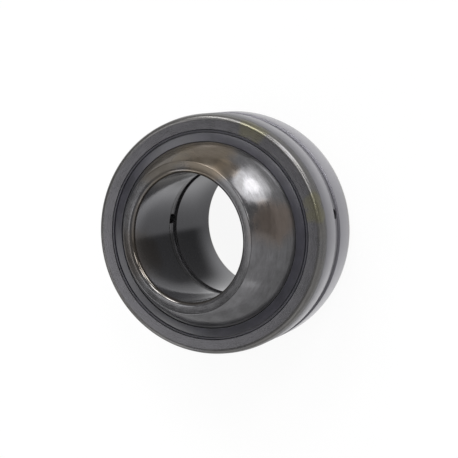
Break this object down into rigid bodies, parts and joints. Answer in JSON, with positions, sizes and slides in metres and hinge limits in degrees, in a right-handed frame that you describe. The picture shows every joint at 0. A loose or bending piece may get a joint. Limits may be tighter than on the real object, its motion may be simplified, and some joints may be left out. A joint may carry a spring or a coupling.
{
  "type": "spherical plain bearing",
  "caption": "Sealed radial spherical plain bearing: a ball-shaped inner ring tilts and turns in a grooved outer ring, with a lip seal on each side.",
  "frame": {"origin": "centre of the ball, about which the rings tilt and turn", "axes": "+Z along the inner ring's axis, out of its front face; +Y is the axis of the tilt, and +X is the side to which the outer ring's front face leans at rest"},
  "size_m": [0.0488, 0.047, 0.028],
  "materials": {
    "inner_ring_steel": "satin",
    "outer_ring_steel": "satin",
    "seal": "satin"
  },
  "bodies": {
    "inner_ring": {"inner_ring": "inner_ring_steel"},
    "seals": {"front_seal": "seal", "rear_seal": "seal"},
    "outer_ring": {"outer_ring": "outer_ring_steel"}
  },
  "joints": [
    {"name": "tilt", "type": "hinge", "parent": "inner_ring", "child": "seals", "pos_m": [0, 0, 0], "axis": [0, 1, 0], "range_deg": [-28, 6]},
    {"name": "turn", "type": "hinge", "parent": "seals", "child": "outer_ring", "pos_m": [0, 0, 0], "axis": [0.1908, 0, 0.9816], "continuous": true}
  ]
}
